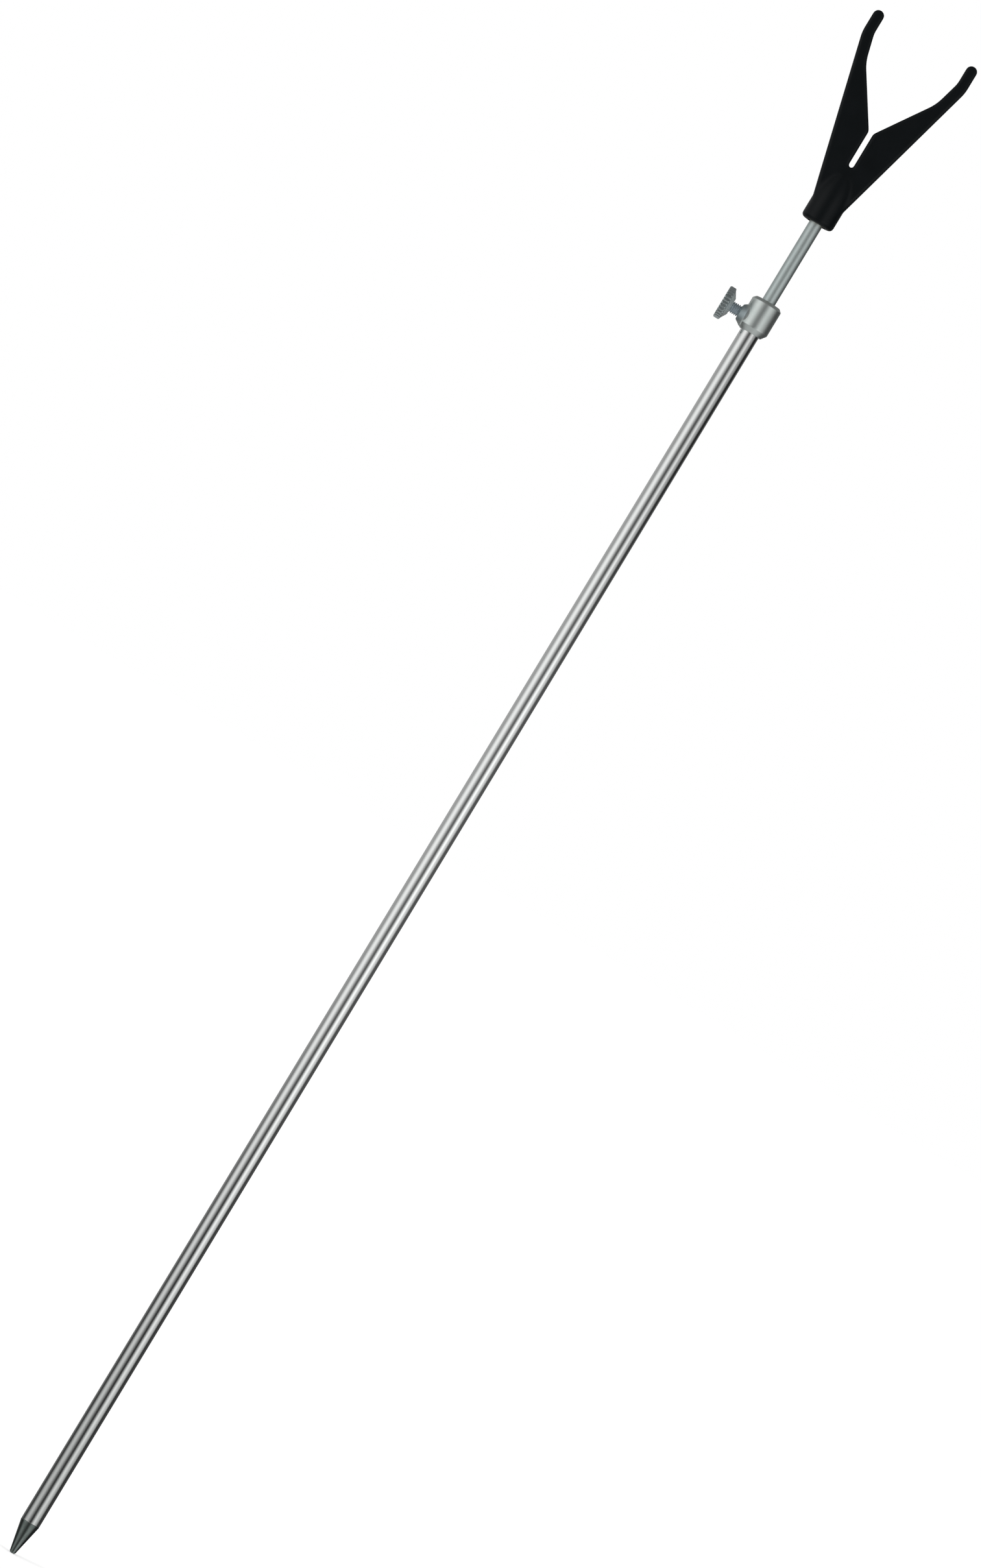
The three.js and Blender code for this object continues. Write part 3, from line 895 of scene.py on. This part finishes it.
def fillet_root(piece):
    """Runs the arms into the socket with a fillet, which is wide where both their skins are near, and
    smooths away the steps of the head's skin."""
    near = piece.vertex_groups.new(name="fillet")
    for vertex in piece.data.vertices:
        x, y, z = vertex.co / MM
        above = min(max((z - socket_height) / socket_dome, 0), 1)
        off_socket = abs(math.hypot(x, y) - socket_radius * math.sqrt(1 - above**2))
        off_arm = abs(abs(y) - arm_root_thickness / 2 * thickness_left(z))
        near.add([vertex.index], max(0, 1 - max(off_socket, off_arm) / fillet_reach), "REPLACE")
    fillet = piece.modifiers.new("fillet", "SMOOTH")
    fillet.vertex_group = "fillet"
    fillet.iterations = fillet_smoothing
    piece.modifiers.new("relaxed", "SMOOTH").iterations = head_smoothing
    return plain(piece)


def insert_pocket():
    """What the threaded insert and the rod's end leave of the socket's inside."""
    foot = head_low.z - overshoot
    outer = insert_high.x + insert_gap
    waist = outer - insert_groove_depth
    middle = (insert_low.z + insert_high.z) / 2
    groove = insert_groove_half - insert_gap
    top = insert_high.z + insert_gap
    room = insert_high.z + thread_room
    return turned(
        "pocket",
        [
            (0, foot),
            (outer, foot),
            (outer, middle - groove),
            (waist, middle - groove),
            (waist, middle + groove),
            (outer, middle + groove),
            (outer, top),
            (rod_thread_radius, top),
            (rod_thread_radius, room),
            (0, room),
        ],
    )


def moulded_head():
    """The V head: arms that thin towards the tips, with rounded edges that run into the round socket."""
    piece = combined(head_arms(), joined=[head_socket()])
    skin = piece.modifiers.new("skin", "REMESH")
    skin.mode = "VOXEL"
    skin.voxel_size = head_cell * MM
    fillet_root(plain(piece))
    piece.data.transform(Matrix.Translation((0, 0, head_low.z * MM)))
    combined(piece, cut=[insert_pocket()])
    dressed(piece, "moulded_head", "stem", "black_nylon", "fork_head")


def soft_shading():
    """Geometry Nodes that shade a CAD node's round faces smooth and keep its real edges sharp."""
    tree = bpy.data.node_groups.new("soft_shading", "GeometryNodeTree")
    tree.interface.new_socket("Geometry", in_out="OUTPUT", socket_type="NodeSocketGeometry")
    tree.interface.new_socket("Geometry", in_out="INPUT", socket_type="NodeSocketGeometry")
    given = add(tree, "NodeGroupInput").outputs["Geometry"]
    merged = add(tree, "GeometryNodeMergeByDistance", {"Geometry": given, "Distance": cad_weld * MM})
    angle = add(tree, "GeometryNodeInputMeshEdgeAngle").outputs["Unsigned Angle"]
    soft = add(
        tree, "FunctionNodeCompare", {"A": angle, "B": sharp_angle}, data_type="FLOAT", operation="LESS_THAN"
    )
    smooth = {"Geometry": merged, "Shade Smooth": True}
    faces = add(tree, "GeometryNodeSetShadeSmooth", smooth, domain="FACE")
    edges = add(tree, "GeometryNodeSetShadeSmooth", {"Geometry": faces, "Shade Smooth": soft}, domain="EDGE")
    add(tree, "NodeGroupOutput", {"Geometry": edges})
    return tree


drawn_tube()
turned_point()
turned_collar()
sliding_rod()
threaded_stud()
fluted_knob()
moulded_head()

shading = soft_shading()
for name, slot in {
    "mouth_bush": "white_acetal",
    "foot_bush": "white_acetal",
    "foot_retainer": "satin_steel",
    "clamp_pad": "brass",
    "fork_insert": "brass",
}.items():
    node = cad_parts[name]
    node.data.materials.clear()
    node.data.materials.append(finishes[slot])
    node.modifiers.new("shading", "NODES").node_group = shading

# Studio: brightness by bearing from the camera's side, positive to the right, as the chrome shows it: at
# the foot of the stick, along its middle and at its top. The dark middle is the room behind the camera,
# with a soft box on either hand, a dark flag beyond each and the grey sweep behind.
studio_bearings = [
    (-180, 0.3, 0.36, 0.42),
    (-140, 0.22, 0.42, 0.45),
    (-102, 0.04, 0.38, 0.38),
    (-54, 0.78, 0.97, 0.98),
    (1, 0.03, 0.13, 0.1),
    (40, 1.08, 1.18, 0.82),
    (62, 0.76, 0.72, 0.42),
    (98, 0.03, 0.1, 0.02),
    (112, 0.06, 0.09, 0.02),
    (150, 0.08, 0.11, 0.14),
    (180, 0.3, 0.36, 0.42),
]
# The heights in metres of the foot, of the middle from and to, and of the top
studio_level_heights = (-0.05, 0.4, 0.52, 0.68)
# and how the brightness falls off with height
studio_heights = [
    (-3, 0.6),
    (-0.25, 0.7),
    (-0.1, 0.85),
    (0.3, 1),
    (0.58, 1),
    (0.7, 0.96),
    (1, 0.9),
    (2, 0.4),
    (3, 0.4),
]
# Above and below them, the ceiling and the floor
ceiling_heights = (1, 1.7)
ceiling_level = 0.17
ground_heights = (-1.1, -1.8)
ground_level = 0.4
studio_radius = 2
wall_rows = 60
floor_radius = 40
floor_sides = 64
# How much the floor is lifted towards white near the stick and far off, each after its distance in metres
floor_lifts = ((0.3, 0.22), (4, 0.38))
world_light = 0.7


def eased_between(stops, value):
    """A smooth curve through [value, result] stops."""
    if value <= stops[0][0]:
        return stops[0][1]
    for (first, low), (second, high) in zip(stops, stops[1:]):
        if value <= second:
            share = (value - first) / (second - first)
            return low + (high - low) * (1 - math.cos(math.pi * share)) / 2
    return stops[-1][1]


def wall_level(bearing, height):
    """How bright the studio's wall is at a bearing in degrees and a height in metres."""
    stops = []
    for stop, foot, middle, top in studio_bearings:
        levels = list(zip(studio_level_heights, (foot, middle, middle, top)))
        stops.append((stop, eased_between(levels, height)))
    wall = eased_between(stops, bearing) * eased_between(studio_heights, height)
    ceiling = ceiling_level * eased_between([(ceiling_heights[0], 0), (ceiling_heights[1], 1)], height)
    ground = ground_level * eased_between([(ground_heights[1], 1), (ground_heights[0], 0)], height)
    return max(wall, ceiling, ground)


def stage_tree(piece, name):
    """A new material on a studio piece, and its tree without nodes."""
    material = bpy.data.materials.new(name)
    material.use_nodes = True
    material.node_tree.nodes.clear()
    piece.data.materials.append(material)
    return material.node_tree


def studio_walls():
    """The soft boxes and dark flags that only polished metal sees, as one round wall with a face to each
    degree."""
    low, high = studio_heights[0][0], studio_heights[-1][0]
    work = bmesh.new()
    light = work.verts.layers.float_color.new("light")

    def lit(x, y, height, level):
        vertex = work.verts.new((x, y, height))
        vertex[light] = (level, level, level, 1)
        return vertex

    grid = []
    for row in range(wall_rows + 1):
        height = low + (high - low) * row / wall_rows
        ring = []
        for bearing in range(-180, 180):
            angle = math.radians(bearing)
            x, y = studio_radius * math.sin(angle), -studio_radius * math.cos(angle)
            ring.append(lit(x, y, height, wall_level(bearing, height)))
        grid.append(ring)
    for lower, upper in zip(grid, grid[1:]):
        for step in range(len(lower)):
            work.faces.new((lower[step - 1], lower[step], upper[step], upper[step - 1]))
    for ring, height, level in ((grid[0], low, ground_level), (grid[-1], high, ceiling_level)):
        middle = lit(0, 0, height, level)
        for step in range(len(ring)):
            work.faces.new((ring[step - 1], ring[step], middle))
    walls = meshed("studio_walls", work)
    tree = stage_tree(walls, "soft_box_and_flag_cloth")
    seen = add(tree, "ShaderNodeAttribute", attribute_name="light").outputs["Color"]
    glow = add(tree, "ShaderNodeEmission", {"Color": seen, "Strength": 1})
    add(tree, "ShaderNodeOutputMaterial", {"Surface": glow})
    walls.visible_camera = False
    walls.visible_diffuse = False
    walls.visible_transmission = False
    walls.visible_volume_scatter = False
    walls.visible_shadow = False


def studio_floor():
    """A pale floor that runs out white and keeps the stick's shadow."""
    work = bmesh.new()
    bmesh.ops.create_circle(work, cap_ends=True, segments=floor_sides, radius=floor_radius)
    floor = meshed("studio_floor", work)
    tree = stage_tree(floor, "matt_white_sweep")
    on_camera = add(tree, "ShaderNodeLightPath").outputs["Is Camera Ray"]
    paper = add(tree, "ShaderNodeBsdfDiffuse", {"Color": "#f7f7f7"})
    place = add(tree, "ShaderNodeTexCoord").outputs["Object"]
    distance = add(tree, "ShaderNodeVectorMath", {0: place}, operation="LENGTH")
    (near, near_lift), (far, far_lift) = floor_lifts
    faded = add(
        tree,
        "ShaderNodeMapRange",
        {"Value": distance, "From Min": near, "From Max": far, "To Min": near_lift, "To Max": far_lift},
        interpolation_type="SMOOTHSTEP",
    )
    lift = add(tree, "ShaderNodeMath", {0: on_camera, 1: faded}, operation="MULTIPLY")
    glow = add(tree, "ShaderNodeEmission", {"Strength": lift})
    lifted = add(tree, "ShaderNodeAddShader", {0: paper, 1: glow})
    add(tree, "ShaderNodeOutputMaterial", {"Surface": lifted})
    floor.visible_glossy = False


def studio_world():
    """White behind everything, and a plain even light on it."""
    world = bpy.data.worlds.new("white_studio")
    bpy.context.scene.world = world
    world.use_nodes = True
    tree = world.node_tree
    tree.nodes.clear()
    rays = add(tree, "ShaderNodeLightPath").outputs
    seen = rays["Is Camera Ray"]
    for ray in ("Is Glossy Ray", "Is Transmission Ray"):
        seen = add(tree, "ShaderNodeMath", {0: seen, 1: rays[ray]}, operation="MAXIMUM")
    strength = add(tree, "ShaderNodeMapRange", {"Value": seen, "To Min": world_light, "To Max": 1})
    sky = add(tree, "ShaderNodeBackground", {"Color": "#ffffff", "Strength": strength})
    add(tree, "ShaderNodeOutputWorld", {"Surface": sky})


def studio_lamp(name, place, power, size):
    """A large soft box, aimed at the middle of the stick. Its reflection is part of the studio walls."""
    data = bpy.data.lights.new(name, "AREA")
    data.shape = "DISK"
    data.size = size
    data.energy = power
    lamp = placed(name, data)
    lamp.location = place
    aim = Vector((0, 0, cad_high.z / 2)) - lamp.location
    lamp.rotation_euler = aim.to_track_quat("-Z", "Y").to_euler()
    lamp.visible_camera = False
    lamp.visible_glossy = False


studio_walls()
studio_floor()
studio_world()
studio_lamp("left_soft_box", place=(-2.2, -2.0, 1.8), power=30, size=1.6)
studio_lamp("right_soft_box", place=(2.4, -1.4, 1.6), power=22, size=1.6)

# Camera: level with the middle of the stick, face on to the V, and rolled so that the stick leans right
frame_long_side = 2417  # pixels
pixel_shows = 0.3175  # millimetres of the stick
camera_lens = 200
camera_film = 36
camera_aim = (5.61, 443.2)
stick_lean = math.radians(31.17)
camera_distance = frame_long_side * pixel_shows * camera_lens / camera_film

camera_data = bpy.data.cameras.new("camera")
camera_data.lens = camera_lens
camera_data.sensor_width = camera_film
camera_data.clip_start = 0.1
camera_data.clip_end = 200
camera = placed("camera", camera_data)
bpy.context.scene.camera = camera
image_right = Vector((math.cos(stick_lean), 0, math.sin(stick_lean)))
image_up = Vector((-math.sin(stick_lean), 0, math.cos(stick_lean)))
turned_to = Matrix((image_right, image_up, Vector((0, -1, 0)))).transposed().to_4x4()
stands_at = Vector((camera_aim[0], -camera_distance, camera_aim[1])) * MM
camera.matrix_world = Matrix.Translation(stands_at) @ turned_to

bpy.context.scene.view_settings.view_transform = "Standard"
